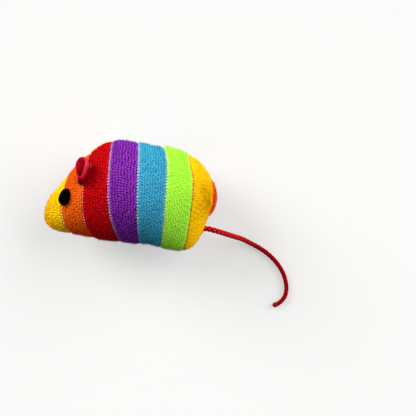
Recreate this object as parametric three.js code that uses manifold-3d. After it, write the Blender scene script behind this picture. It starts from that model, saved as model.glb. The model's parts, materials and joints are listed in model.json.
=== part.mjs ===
// A catnip mouse: two striped knit panels sewn into a stuffed body, with felt ears and eyes and
// a cord tail. It lies on its right flank. Millimetres: +X runs from nose to tail, +Y towards
// the back, +Z up through the left flank.

import * as THREE from "three";
import { mergeVertices } from "three/addons/utils/BufferGeometryUtils.js";
import Module from "manifold-3d";

const wasm = await Module();
wasm.setup();

// Fits
const SEWN_GAP = 0.3; // between pieces that are sewn, glued or packed together
const PACKING_GAP = 0.9; // between the knit and the fibre packed inside it
const FLAT_DEPTH = 0.5; // how far the right flank is pressed flat where it rests

// Body form. Each station gives its step along the spine from the one before, the heights of
// the back and the belly above the line of the spine, half the body's thickness, and the angles
// by which the back seam leans to the left and the belly seam to the right.
const STATIONS = [
  { step: 0, back: -8.6, belly: -8.6, half: 0, backLean: 0, bellyLean: 0 }, // nose tip
  { step: 2.4, back: 1.2, belly: -14.5, half: 6.4, backLean: 0.01, bellyLean: 0 }, // muzzle
  { step: 6.5, back: 9.3, belly: -17, half: 10.8, backLean: 0.12, bellyLean: 0 }, // cheek
  { step: 11.4, back: 21.2, belly: -19.1, half: 16.3, backLean: 0.37, bellyLean: 0 }, // brow
  { step: 13.4, back: 31, belly: -21.8, half: 20.6, backLean: 0.2, bellyLean: 0 }, // shoulder
  { step: 15.8, back: 31, belly: -23.7, half: 22, backLean: 0.02, bellyLean: 0 }, // middle
  { step: 16.5, back: 29, belly: -26.3, half: 20.8, backLean: 0, bellyLean: 0.1 }, // loin
  { step: 14.2, back: 23.4, belly: -23.8, half: 15.6, backLean: -0.11, bellyLean: 0.25 }, // haunch
  { step: 9.1, back: 12, belly: -8.1, half: 9.4, backLean: -0.56, bellyLean: 0.42 }, // rump
  { step: 3, back: -0.4, belly: -0.4, half: 0, backLean: 0, bellyLean: 0 }, // rear end of the seam
];
const BEND_LENGTH = 29.4; // of the spine at the rump, which curls towards the left
const BEND_RADIUS = 53;
const COVER = 1.4; // thickness of the knit

// Yarns and the other colours
const YARNS = {
  yellow: 0xf2c313,
  orange: 0xe0641a,
  red: 0xc8141c,
  purple: 0x7d2aa5,
  blue: 0x3ba0c8,
  green: 0x9ae03c,
};
const FELT_RED = 0xb90f2c;
const FELT_BLACK = 0x0b0b0d;
const CORD_RED = 0xc2121a;
const FIBRE_WHITE = 0xeceae2;
const LEAF_GREEN = 0x7c8450;
const KNIT_ROUGHNESS = 0.95;
const FELT_ROUGHNESS = 0.9;
const FIBRE_ROUGHNESS = 1;
const CORD_ROUGHNESS = 0.6;

// Yarn stripes of each panel from the nose. The width runs along the flank. back and belly say
// how far the stripe's rear edge lies behind that at each seam. A last stripe takes what is left.
const LEFT_STRIPES = [
  { node: "left_nose_yellow", yarn: "yellow", width: 12, back: 1.7, belly: 2.8 },
  { node: "left_cheek_orange", yarn: "orange", width: 11.9, back: 1.8, belly: 3.8 },
  { node: "left_shoulder_red", yarn: "red", width: 13.2, back: -0.4, belly: 4.1 },
  { node: "left_chest_purple", yarn: "purple", width: 15, back: -2.1, belly: -0.6 },
  { node: "left_middle_blue", yarn: "blue", width: 15.4, back: -4.8, belly: -5.2 },
  { node: "left_haunch_green", yarn: "green", width: 18.1, back: -7.4, belly: -12.3 },
  { node: "left_rump_yellow", yarn: "yellow" },
];
const RIGHT_STRIPES = [
  { node: "right_nose_red", yarn: "red", width: 8, back: 2.5, belly: 2 },
  { node: "right_cheek_orange", yarn: "orange", width: 14, back: 3, belly: 1 },
  { node: "right_shoulder_yellow", yarn: "yellow", width: 13.5, back: 2.5, belly: 0 },
  { node: "right_chest_green", yarn: "green", width: 12, back: 1.5, belly: -3 },
  { node: "right_middle_blue", yarn: "blue", width: 11.5, back: -1, belly: -6 },
  { node: "right_loin_purple", yarn: "purple", width: 11.5, back: -3, belly: -7 },
  { node: "right_haunch_red", yarn: "red", width: 11.5, back: -5, belly: -7 },
  { node: "right_rump_orange", yarn: "orange" },
];

// Filling
const WADS_MEET = 46; // along the spine
const CATNIP_LENGTH = 18;
const CATNIP_HEIGHT = 26;
const CATNIP_THICKNESS = 18;

// Felt eyes, glued to the cheeks
const EYE_ALONG = 14.45;
const EYE_AROUND = 1.42; // angle round the body from its back
const EYE_LENGTH = 9;
const EYE_WIDTH = 6.3;
const EYE_TILT = -0.5;
const EYE_FELT = 1.1;
const EYE_CROWN = 0.4; // how much thicker the felt is at its middle

// Felt ears, pinched into cups and sewn down along the pinch
const EAR_ALONG = 26.4;
const EAR_AROUND = 1.18;
const EAR_SLANT = 0.65; // angle of the pinch from the spine
const EAR_FELT = 1.5;
const PINCH_LENGTH = 9.8;
const PINCH_WIDTH = 3.4;
const PINCH_LIFT = 1.1; // the pinch rounds up this far on each side of its stitches
const EAR_HEIGHT = 6;
const RIM_LENGTH = 11.8;
const RIM_WIDTH = 7.4;
const RIM_SHIFT = 2.6; // of the rim along the pinch, towards the back
const PRESSED_RIM_WIDTH = 5; // of the right ear, which is pressed between head and floor
const RIM_TWIST = 0.58; // angle of the rim from the pinch
const RIM_TAPER = 0.42; // how far the rim draws to a point at its lower end
const LEFT_EAR_LEAN = 0.05; // away from upright, towards the nose
const RIGHT_EAR_LEAN = 1.1;

// Tail cord. The route starts at the root, just outside the seam. Each point gives its run
// towards +X and +Y from there, and its share of the root's height above the resting plane.
const TAIL_DIAMETER = 2.5;
const TAIL_END_DIAMETER = 2.9; // the heat-sealed end
const TAIL_SIDES = 8;
const TAIL_STEPS = 34;
const EXIT_FROM_REAR = 7; // along the spine, at the belly seam
const EXIT_SLOPE = -0.1; // angle of the exit from +X towards +Y
const KNOT_DIAMETER = 6;
const KNOT_LENGTH = 5;
const KNOT_SHOULDER = 1.2; // rounding at both ends of the knot
const KNOT_DEPTH = 2.5; // from the inside of the knit to the knot
const TAIL_ROUTE = [
  [0, 0, 1],
  [3.2, -0.4, 0.98],
  [5.8, -1.3, 0.9],
  [8.5, -2.2, 0.77],
  [14, -3.8, 0.46],
  [19.5, -5.9, 0.19],
  [24.8, -8.8, 0.04],
  [29.1, -11.4, 0],
  [33.3, -14.4, 0],
  [37.5, -18.2, 0],
  [40.7, -22.2, 0],
  [43.2, -26.7, 0],
  [44.6, -31.6, 0],
  [44.9, -35.6, 0],
  [44.2, -38.8, 0],
  [42.5, -41.7, 0],
  [40.5, -43.3, 0],
  [38.4, -44.4, 0],
];

// Facets
const PANEL_FACETS = 16; // round half of the body
const STRIPE_ROWS = 4; // at least, along each stripe
const STRIPE_FACET = 5; // along the spine
const WAD_FACETS = 24;
const CATNIP_FACETS = 14;
const FELT_FACETS = 20; // round an ear or an eye
const FELT_STEPS = 3; // up the wall of an ear, or from the edge of an eye to its middle

const Y_AXIS = new THREE.Vector3(0, 1, 0);

// Smooth curve through values at rising knots, each knot's slope taken from its neighbours.
function curveThrough(knots, values, at) {
  let i = 0;
  while (i < knots.length - 2 && at > knots[i + 1]) {
    i += 1;
  }
  const slope = (j) => {
    const before = Math.max(j - 1, 0);
    const after = Math.min(j + 1, knots.length - 1);
    return (values[after] - values[before]) / (knots[after] - knots[before]);
  };
  const span = knots[i + 1] - knots[i];
  const f = (at - knots[i]) / span;
  const g = 1 - f;
  const ends = values[i] * g * g * (1 + 2 * f) + values[i + 1] * f * f * (1 + 2 * g);
  return ends + span * f * g * (slope(i) * g - slope(i + 1) * f);
}

// Spine. An angle from 0 at the nose to pi at the rear gives both ends their roundness.
let reach = 0;
const stationsAlong = STATIONS.map((station) => (reach += station.step));
const BODY_LENGTH = reach;
const exitAlong = BODY_LENGTH - EXIT_FROM_REAR;
const poleAngle = (along) => {
  const share = THREE.MathUtils.clamp(along / BODY_LENGTH, 0, 1);
  return Math.acos(1 - 2 * share);
};
const alongAt = (angle) => (BODY_LENGTH * (1 - Math.cos(angle))) / 2;
const alongBetween = (from, to, share) =>
  alongAt(THREE.MathUtils.lerp(poleAngle(from), poleAngle(to), share));
const stationAngles = stationsAlong.map(poleAngle);
const formCurve = (key) => {
  const values = STATIONS.map((station) => station[key]);
  return (angle) => curveThrough(stationAngles, values, angle);
};
const backHeight = formCurve("back");
const bellyHeight = formCurve("belly");
const halfThickness = formCurve("half");
const backLean = formCurve("backLean");
const bellyLean = formCurve("bellyLean");

function spineFrame(along) {
  const straight = BODY_LENGTH - BEND_LENGTH;
  const turn = Math.max(0, along - straight) / BEND_RADIUS;
  const x = Math.min(along, straight) + BEND_RADIUS * Math.sin(turn);
  const z = BEND_RADIUS * (1 - Math.cos(turn));
  const forward = new THREE.Vector3(Math.cos(turn), 0, Math.sin(turn));
  const side = new THREE.Vector3(-Math.sin(turn), 0, Math.cos(turn));
  return { centre: new THREE.Vector3(x, 0, z), forward, side };
}

// Body surface. around is 0 at the back, a half turn at the belly, positive on the left.
function surfaceAt(angle, around) {
  const { centre, side } = spineFrame(alongAt(angle));
  const back = backHeight(angle);
  const belly = bellyHeight(angle);
  const height = (back + belly) / 2 + ((back - belly) / 2) * Math.cos(around);
  return centre
    .addScaledVector(Y_AXIS, height)
    .addScaledVector(side, halfThickness(angle) * Math.sin(around));
}

function bodyPoint(along, around) {
  return surfaceAt(poleAngle(along), around);
}

const NUDGE = 0.01; // angle step of the surface's tangents
function bodyTangents(along, around) {
  const angle = poleAngle(along);
  const lengthwise = surfaceAt(angle + NUDGE, around).sub(surfaceAt(angle - NUDGE, around));
  const crosswise = surfaceAt(angle, around + NUDGE).sub(surfaceAt(angle, around - NUDGE));
  const alongPerNudge = NUDGE * BODY_LENGTH * Math.sin(angle);
  return {
    lengthwise: lengthwise.divideScalar(alongPerNudge),
    crosswise: crosswise.divideScalar(2 * NUDGE),
  };
}

function bodyNormal(along, around) {
  const angle = poleAngle(along);
  if (angle < NUDGE) {
    return spineFrame(along).forward.negate();
  }
  if (angle > Math.PI - NUDGE) {
    return spineFrame(along).forward;
  }
  const { lengthwise, crosswise } = bodyTangents(along, around);
  return crosswise.cross(lengthwise).normalize();
}

const insetPoint = (along, around, depth) =>
  bodyPoint(along, around).addScaledVector(bodyNormal(along, around), -depth);

// Closed geometry from points and triangles, with its faces turned outwards.
function closedGeometry(points, triangles) {
  const loose = new THREE.BufferGeometry().setFromPoints(points);
  loose.setIndex(triangles.flat());
  const merged = mergeVertices(loose);
  const place = merged.getAttribute("position");
  const index = merged.getIndex().array;
  const kept = [];
  let volume = 0;
  const corners = [new THREE.Vector3(), new THREE.Vector3(), new THREE.Vector3()];
  for (let i = 0; i < index.length; i += 3) {
    const triangle = [index[i], index[i + 1], index[i + 2]];
    if (new Set(triangle).size === 3) {
      kept.push(triangle);
      triangle.forEach((vertex, k) => corners[k].fromBufferAttribute(place, vertex));
      volume += corners[0].dot(corners[1].clone().cross(corners[2]));
    }
  }
  if (volume < 0) {
    kept.forEach((triangle) => triangle.reverse());
  }
  merged.setIndex(kept.flat());
  return merged;
}

// Skin over a run of rings with equal counts of points. A ring at either end may be drawn in
// to a line or a point. One that isn't is closed by a fan to its middle.
function loftRings(rings) {
  const count = rings[0].length;
  const points = rings.flat();
  const triangles = [];
  for (let r = 0; r + 1 < rings.length; r += 1) {
    for (let j = 0; j < count; j += 1) {
      const a = r * count + j;
      const b = r * count + ((j + 1) % count);
      triangles.push([a, b, b + count], [a, b + count, a + count]);
    }
  }
  const fan = (first, flip) => {
    const middle = new THREE.Vector3();
    for (let j = 0; j < count; j += 1) {
      middle.addScaledVector(points[first + j], 1 / count);
    }
    points.push(middle);
    for (let j = 0; j < count; j += 1) {
      const next = first + ((j + 1) % count);
      const pair = flip ? [next, first + j] : [first + j, next];
      triangles.push([points.length - 1, ...pair]);
    }
  };
  const isOpen = (ring) => {
    const quarter = Math.floor(count / 4);
    return ring[quarter].distanceTo(ring[count - quarter]) > NUDGE;
  };
  if (isOpen(rings[0])) {
    fan(0, true);
  }
  if (isOpen(rings[rings.length - 1])) {
    fan((rings.length - 1) * count, false);
  }
  return closedGeometry(points, triangles);
}

// Solid between an outer and an inner grid of points.
function thickPatch(outer, inner) {
  const rows = outer.length;
  const columns = outer[0].length;
  const points = [...outer.flat(), ...inner.flat()];
  const depth = rows * columns;
  const triangles = [];
  const quad = (a, b, c, d) => triangles.push([a, b, c], [a, c, d]);
  const at = (r, c) => r * columns + c;
  for (let r = 0; r + 1 < rows; r += 1) {
    for (let c = 0; c + 1 < columns; c += 1) {
      quad(at(r, c), at(r, c + 1), at(r + 1, c + 1), at(r + 1, c));
      quad(at(r, c) + depth, at(r + 1, c) + depth, at(r + 1, c + 1) + depth, at(r, c + 1) + depth);
    }
  }
  const rim = (a, b) => quad(a, a + depth, b + depth, b);
  for (let c = 0; c + 1 < columns; c += 1) {
    rim(at(0, c), at(0, c + 1));
    rim(at(rows - 1, c + 1), at(rows - 1, c));
  }
  for (let r = 0; r + 1 < rows; r += 1) {
    rim(at(r + 1, 0), at(r, 0));
    rim(at(r, columns - 1), at(r + 1, columns - 1));
  }
  return closedGeometry(points, triangles);
}

// Cutting and joining
function toSolid(geometry) {
  const bare = geometry.clone();
  bare.deleteAttribute("normal");
  bare.deleteAttribute("uv");
  const merged = mergeVertices(bare);
  const vertProperties = new Float32Array(merged.getAttribute("position").array);
  const triVerts = new Uint32Array(merged.getIndex().array);
  return new wasm.Manifold(new wasm.Mesh({ numProp: 3, vertProperties, triVerts }));
}

function toGeometry(solid) {
  const mesh = solid.getMesh();
  const geometry = new THREE.BufferGeometry();
  geometry.setAttribute("position", new THREE.BufferAttribute(mesh.vertProperties, 3));
  geometry.setIndex(new THREE.BufferAttribute(mesh.triVerts, 1));
  return geometry;
}

const cutAway = (geometry, ...tools) =>
  toGeometry(tools.reduce((solid, tool) => solid.subtract(toSolid(tool)), toSolid(geometry)));
const joinAll = (first, ...others) =>
  toGeometry(others.reduce((solid, other) => solid.add(toSolid(other)), toSolid(first)));

// Knit panels: each stripe is a band of the cover between two curved edges.
function stripeEdges(stripes) {
  let at = 0;
  const edges = [{ at, back: 0, belly: 0 }];
  for (const stripe of stripes.slice(0, -1)) {
    at += stripe.width;
    edges.push({ at, back: stripe.back, belly: stripe.belly });
  }
  edges.push({ at: BODY_LENGTH, back: 0, belly: 0 });
  return edges;
}

function edgeAlong(edge, share) {
  const c = Math.cos(Math.PI * share);
  return edge.at + (c > 0 ? edge.back : edge.belly) * c * c;
}

function stripeGeometry(edges, k, side) {
  const gapAt = (edge) => (edge.at === 0 || edge.at === BODY_LENGTH ? 0 : SEWN_GAP / 2);
  const front = edges[k];
  const rear = edges[k + 1];
  const rows = Math.max(STRIPE_ROWS, Math.ceil((rear.at - front.at) / STRIPE_FACET));
  const outer = [];
  const inner = [];
  for (let r = 0; r <= rows; r += 1) {
    const outerRow = [];
    const innerRow = [];
    for (let c = 0; c <= PANEL_FACETS; c += 1) {
      const share = c / PANEL_FACETS;
      const from = edgeAlong(front, share) + gapAt(front);
      const to = edgeAlong(rear, share) - gapAt(rear);
      const along = alongBetween(from, to, r / rows);
      const angle = poleAngle(along);
      const bellySeam = side * Math.PI + bellyLean(angle);
      const around = THREE.MathUtils.lerp(backLean(angle), bellySeam, share);
      const apart = spineFrame(along).side.multiplyScalar((side * SEWN_GAP) / 2);
      outerRow.push(bodyPoint(along, around).add(apart));
      innerRow.push(insetPoint(along, around, COVER).add(apart));
    }
    outer.push(outerRow);
    inner.push(innerRow);
  }
  return thickPatch(outer, inner);
}

// Ring of points round the filling, inside the cover
function fillingRing(along) {
  const ring = [];
  for (let j = 0; j < WAD_FACETS; j += 1) {
    ring.push(insetPoint(along, (2 * Math.PI * j) / WAD_FACETS, COVER + PACKING_GAP));
  }
  return ring;
}

function wadGeometry(from, to) {
  const rings = [];
  const steps = Math.ceil((to - from) / STRIPE_FACET);
  for (let i = 0; i <= steps; i += 1) {
    rings.push(fillingRing(alongBetween(from, to, i / steps)));
  }
  return loftRings(rings);
}

function catnipGeometry(clearance) {
  const { centre } = spineFrame(WADS_MEET);
  const angle = poleAngle(WADS_MEET);
  const sphere = new THREE.SphereGeometry(1, CATNIP_FACETS, CATNIP_FACETS);
  sphere.scale(
    CATNIP_LENGTH / 2 + clearance,
    CATNIP_HEIGHT / 2 + clearance,
    CATNIP_THICKNESS / 2 + clearance,
  );
  const height = (backHeight(angle) + bellyHeight(angle)) / 2;
  return sphere.translate(centre.x, height, centre.z);
}

// Point on the cheek or brow, run and rise away from a seat on the surface
function seatPatch(along, around) {
  const { lengthwise, crosswise } = bodyTangents(along, around);
  return (run, rise, lift) => {
    const s = along + run / lengthwise.length();
    const t = around - (Math.sign(around) * rise) / crosswise.length();
    return insetPoint(s, t, -lift);
  };
}

// Shares from 0 to 1 up a felt wall or across a felt disc, and points round such a piece
const feltShares = Array.from({ length: FELT_STEPS + 1 }, (_, i) => i / FELT_STEPS);
const feltRing = (pointAt) => {
  const points = [];
  for (let j = 0; j < FELT_FACETS; j += 1) {
    points.push(pointAt((2 * Math.PI * j) / FELT_FACETS));
  }
  return points;
};

function eyeGeometry(side) {
  const patch = seatPatch(EYE_ALONG, side * EYE_AROUND);
  const ring = (share, lift) =>
    feltRing((turn) => {
      const wide = (EYE_WIDTH / 2) * share * Math.cos(turn);
      const tall = (EYE_LENGTH / 2) * share * Math.sin(turn);
      const run = wide * Math.cos(EYE_TILT) + tall * Math.sin(EYE_TILT);
      const rise = tall * Math.cos(EYE_TILT) - wide * Math.sin(EYE_TILT);
      return patch(run, rise, lift);
    });
  const underside = feltShares.map((share) => ring(share, SEWN_GAP));
  const crown = feltShares.map((share) => {
    const swell = EYE_CROWN * (1 - share * share);
    return ring(share, SEWN_GAP + EYE_FELT + swell);
  });
  return loftRings([...underside, ...crown.reverse()]);
}

// Ear cup: the pinch follows the head, the rim stands on a stem of the ear's height.
function earFrame(side) {
  const around = side * EAR_AROUND;
  const { lengthwise } = bodyTangents(EAR_ALONG, around);
  const up = bodyNormal(EAR_ALONG, around);
  const rearward = lengthwise.normalize();
  const backward = up.clone().cross(rearward).multiplyScalar(side);
  const pinch = rearward
    .clone()
    .multiplyScalar(Math.cos(EAR_SLANT))
    .addScaledVector(backward, Math.sin(EAR_SLANT));
  const across = up.clone().cross(pinch).multiplyScalar(side);
  const seat = insetPoint(EAR_ALONG, around, -SEWN_GAP);
  return { seat, up, pinch, across };
}

function earGeometry(side, lean, rimWidth) {
  const { seat, up, pinch, across } = earFrame(side);
  const patch = seatPatch(EAR_ALONG, side * EAR_AROUND);
  const stem = up
    .clone()
    .multiplyScalar(Math.cos(lean))
    .addScaledVector(across, Math.sin(lean));
  const flat = across
    .clone()
    .multiplyScalar(Math.cos(lean))
    .addScaledVector(up, -Math.sin(lean));
  const rimRun = pinch
    .clone()
    .multiplyScalar(Math.cos(RIM_TWIST))
    .addScaledVector(flat, Math.sin(RIM_TWIST));
  const rimAcross = flat
    .clone()
    .multiplyScalar(Math.cos(RIM_TWIST))
    .addScaledVector(pinch, -Math.sin(RIM_TWIST));
  const rimMiddle = seat
    .clone()
    .addScaledVector(stem, EAR_HEIGHT)
    .addScaledVector(pinch, RIM_SHIFT);
  const pinchPoint = (turn, long, wide, lift) => {
    const a = (long / 2) * Math.cos(turn);
    const b = (wide / 2) * Math.sin(turn);
    const run = a * Math.cos(EAR_SLANT) - b * Math.sin(EAR_SLANT);
    const rise = a * Math.sin(EAR_SLANT) + b * Math.cos(EAR_SLANT);
    return patch(run, rise, lift);
  };
  const rimPoint = (turn, inset) => {
    const a = (RIM_LENGTH / 2 - inset) * Math.cos(turn);
    const b = (rimWidth / 2 - inset) * Math.sin(turn) * (1 + RIM_TAPER * Math.cos(turn));
    return rimMiddle.clone().addScaledVector(rimRun, a).addScaledVector(rimAcross, b);
  };
  const bottom = SEWN_GAP + PINCH_LIFT;
  const floor = bottom + EAR_FELT;
  const slitLength = PINCH_LENGTH - 2 * EAR_FELT;
  const slitWidth = Math.max(PINCH_WIDTH - 2 * EAR_FELT, SEWN_GAP);
  const keel = feltRing((turn) => pinchPoint(turn, slitLength, 0, SEWN_GAP));
  const slit = feltRing((turn) => pinchPoint(turn, slitLength - EAR_FELT, 0, floor));
  const outerWall = feltShares.map((share) =>
    feltRing((turn) => pinchPoint(turn, PINCH_LENGTH, PINCH_WIDTH, bottom).lerp(rimPoint(turn, 0), share)),
  );
  const innerWall = feltShares.map((share) =>
    feltRing((turn) => pinchPoint(turn, slitLength, slitWidth, floor).lerp(rimPoint(turn, EAR_FELT), share)),
  );
  return loftRings([keel, ...outerWall, ...innerWall.reverse(), slit]);
}

// Tail: a knotted inner end held in the rear seam, and the free cord outside it.
const exitPoint = bodyPoint(exitAlong, Math.PI + bellyLean(poleAngle(exitAlong)));
const exitWay = new THREE.Vector3(Math.cos(EXIT_SLOPE), Math.sin(EXIT_SLOPE), 0);
const tailRadius = TAIL_DIAMETER / 2;
const tailRoot = exitPoint.clone().addScaledVector(exitWay, tailRadius + SEWN_GAP);

function knotGeometry(clearance) {
  const stub = COVER + KNOT_DEPTH;
  const knotRadius = KNOT_DIAMETER / 2 + clearance;
  const profile = [
    new THREE.Vector2(0, -stub - KNOT_LENGTH - clearance),
    new THREE.Vector2(tailRadius + clearance, -stub - KNOT_LENGTH - clearance),
    new THREE.Vector2(knotRadius, -stub - KNOT_LENGTH + KNOT_SHOULDER - clearance),
    new THREE.Vector2(knotRadius, -stub - KNOT_SHOULDER + clearance),
    new THREE.Vector2(tailRadius + clearance, -stub + clearance),
    new THREE.Vector2(tailRadius + clearance, clearance),
    new THREE.Vector2(0, clearance),
  ];
  const geometry = new THREE.LatheGeometry(profile, TAIL_SIDES);
  const turn = new THREE.Quaternion().setFromUnitVectors(Y_AXIS, exitWay);
  geometry.applyQuaternion(turn);
  return geometry.translate(exitPoint.x, exitPoint.y, exitPoint.z);
}

// Round passage for the cord through the seam
function passageGeometry() {
  const radius = tailRadius + SEWN_GAP;
  const length = 2 * (COVER + KNOT_DEPTH) + KNOT_DIAMETER;
  const geometry = new THREE.CylinderGeometry(radius, radius, length, TAIL_SIDES);
  const turn = new THREE.Quaternion().setFromUnitVectors(Y_AXIS, exitWay);
  geometry.applyQuaternion(turn);
  return geometry.translate(exitPoint.x, exitPoint.y, exitPoint.z);
}

function tailGeometry(floor) {
  const lying = floor + TAIL_END_DIAMETER / 2;
  const route = TAIL_ROUTE.map(([run, rise, share]) => {
    const height = THREE.MathUtils.lerp(lying, tailRoot.z, share);
    return new THREE.Vector3(tailRoot.x + run, tailRoot.y + rise, height);
  });
  const section = new THREE.Shape();
  for (let i = 0; i < TAIL_SIDES; i += 1) {
    const turn = (2 * Math.PI * i) / TAIL_SIDES;
    const corner = [tailRadius * Math.cos(turn), tailRadius * Math.sin(turn)];
    if (i === 0) {
      section.moveTo(...corner);
    } else {
      section.lineTo(...corner);
    }
  }
  const path = new THREE.CatmullRomCurve3(route, false, "centripetal");
  const tube = new THREE.ExtrudeGeometry(section, { steps: TAIL_STEPS, extrudePath: path });
  const ball = (diameter, place) =>
    new THREE.SphereGeometry(diameter / 2, TAIL_SIDES, TAIL_SIDES).translate(place.x, place.y, place.z);
  const root = ball(TAIL_DIAMETER, route[0]);
  const seal = ball(TAIL_END_DIAMETER, route[route.length - 1]);
  return joinAll(tube, root, seal);
}

// Assembly
const mouse = new THREE.Group();

function addPiece(node, geometry, color, roughness) {
  const material = new THREE.MeshStandardMaterial({ color, roughness, metalness: 0 });
  const mesh = new THREE.Mesh(geometry, material);
  mesh.name = node;
  mouse.add(mesh);
}

const leftEdges = stripeEdges(LEFT_STRIPES);
const rightEdges = stripeEdges(RIGHT_STRIPES);
const leftBands = LEFT_STRIPES.map((stripe, k) => stripeGeometry(leftEdges, k, 1));
const rightBands = RIGHT_STRIPES.map((stripe, k) => stripeGeometry(rightEdges, k, -1));

const lowestOf = (geometry) => {
  geometry.computeBoundingBox();
  return geometry.boundingBox.min.z;
};
const floor = Math.min(...rightBands.map(lowestOf)) + FLAT_DEPTH;
const wide = 2 * BODY_LENGTH;
const underFloor = new THREE.BoxGeometry(wide, wide, wide);
underFloor.translate(BODY_LENGTH / 2, 0, floor - wide / 2);

const passage = passageGeometry();
const lastOf = (list) => list[list.length - 1];
LEFT_STRIPES.forEach((stripe, k) => {
  const band = leftBands[k];
  const holed = band === lastOf(leftBands) ? cutAway(band, passage) : band;
  addPiece(stripe.node, holed, YARNS[stripe.yarn], KNIT_ROUGHNESS);
});
RIGHT_STRIPES.forEach((stripe, k) => {
  const band = rightBands[k];
  const pressed = lowestOf(band) < floor ? cutAway(band, underFloor) : band;
  const holed = band === lastOf(rightBands) ? cutAway(pressed, passage) : pressed;
  addPiece(stripe.node, holed, YARNS[stripe.yarn], KNIT_ROUGHNESS);
});

const pocket = catnipGeometry(SEWN_GAP);
const frontWad = wadGeometry(0, WADS_MEET - SEWN_GAP / 2);
const rearWad = wadGeometry(WADS_MEET + SEWN_GAP / 2, BODY_LENGTH);
addPiece("front_stuffing", cutAway(frontWad, pocket), FIBRE_WHITE, FIBRE_ROUGHNESS);
addPiece("rear_stuffing", cutAway(rearWad, pocket, knotGeometry(SEWN_GAP)), FIBRE_WHITE, FIBRE_ROUGHNESS);
addPiece("catnip_fill", catnipGeometry(0), LEAF_GREEN, FIBRE_ROUGHNESS);

addPiece("left_eye", eyeGeometry(1), FELT_BLACK, FELT_ROUGHNESS);
addPiece("right_eye", eyeGeometry(-1), FELT_BLACK, FELT_ROUGHNESS);
addPiece("left_ear", earGeometry(1, LEFT_EAR_LEAN, RIM_WIDTH), FELT_RED, FELT_ROUGHNESS);
addPiece("right_ear", earGeometry(-1, RIGHT_EAR_LEAN, PRESSED_RIM_WIDTH), FELT_RED, FELT_ROUGHNESS);
addPiece("tail_knot", knotGeometry(0), CORD_RED, CORD_ROUGHNESS);

// The origin is under the middle of the mouse without its tail, on the plane that it lies on.
const extent = new THREE.Box3().setFromObject(mouse);
const middle = extent.getCenter(new THREE.Vector3());
addPiece("tail_cord", tailGeometry(floor), CORD_RED, CORD_ROUGHNESS);
mouse.position.set(-middle.x, -middle.y, -floor);
mouse.updateMatrixWorld(true);

export default mouse;
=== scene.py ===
"""Looks of a stuffed catnip mouse in striped knit, with felt ears and eyes and a braided cord tail."""

import json
import math

import bmesh
import bpy
import numpy as np
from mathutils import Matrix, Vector
from numpy.linalg import norm


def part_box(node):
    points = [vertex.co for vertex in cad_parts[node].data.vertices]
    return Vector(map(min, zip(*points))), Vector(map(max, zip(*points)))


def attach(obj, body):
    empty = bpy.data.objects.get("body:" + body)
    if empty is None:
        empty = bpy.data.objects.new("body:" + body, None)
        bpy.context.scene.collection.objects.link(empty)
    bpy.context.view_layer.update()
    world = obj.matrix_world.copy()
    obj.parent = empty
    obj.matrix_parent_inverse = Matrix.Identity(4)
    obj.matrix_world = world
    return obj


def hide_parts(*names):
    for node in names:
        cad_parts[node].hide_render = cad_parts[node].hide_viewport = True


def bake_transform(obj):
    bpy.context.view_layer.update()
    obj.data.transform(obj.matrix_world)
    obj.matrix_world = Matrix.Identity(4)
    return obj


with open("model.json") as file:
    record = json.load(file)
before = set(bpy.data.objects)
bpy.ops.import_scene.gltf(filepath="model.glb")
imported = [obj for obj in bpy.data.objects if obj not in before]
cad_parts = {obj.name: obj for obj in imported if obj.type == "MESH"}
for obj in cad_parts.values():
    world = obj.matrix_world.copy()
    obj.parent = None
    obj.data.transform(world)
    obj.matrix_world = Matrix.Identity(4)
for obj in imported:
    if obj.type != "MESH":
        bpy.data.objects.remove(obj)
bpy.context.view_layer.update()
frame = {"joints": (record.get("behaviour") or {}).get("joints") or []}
scene = bpy.context.scene

MM = 0.001
PI = math.pi
rng = np.random.default_rng(11)

# Camera and light. The camera looks straight down, with the mouse's back at the top of the picture.
CAMERA_PLACE = (0.04183, -0.00705, 0.35165)
CAMERA_LENS = 52.9
SKY = 0.2
# Each lamp: strength, direction that it shines from, and softness in degrees
LAMPS = [
    (3.85, (-0.74, 0.53, 0.41), 34),
    (3.65, (0.77, 0.42, 0.42), 60),
]
FLOOR_SIZE = 3
FLOOR_HEIGHT = -0.05
FLOOR_BOUNCE = 0.3
FLOOR_GLOW = 0.48

# Body form in millimetres, nose to rear: step along the spine, back, belly, half thickness, and the
# angles by which the back seam leans to the left and the belly seam to the right
STATIONS = [
    (0, -8.6, -8.6, 0, 0, 0),
    (2.4, 1.2, -14.5, 6.4, 0.01, 0),
    (6.5, 9.3, -17, 10.8, 0.12, 0),
    (11.4, 21.2, -19.1, 16.3, 0.37, 0),
    (13.4, 31, -21.8, 20.6, 0.18, 0),
    (15.8, 31, -23.7, 22, -0.03, 0),
    (16.5, 29, -26.3, 20.8, -0.04, 0.1),
    (14.2, 23.4, -23.8, 15.6, -0.11, 0.25),
    (9.1, 12, -8.1, 9.4, -0.56, 0.42),
    (3, -0.4, -0.4, 0, 0, 0),
]
# Bend of the rump towards the left flank, and the tail's way out of the belly seam
BEND_LENGTH = 29.4
BEND_RADIUS = 53
EXIT_FROM_REAR = 7
EXIT_SLOPE = -0.1
# Gaps of stitches and glue and between cover and wads, and thickness of the knit
SEWN_GAP = 0.3
PACKING_GAP = 0.9
COVER = 1.4

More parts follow.
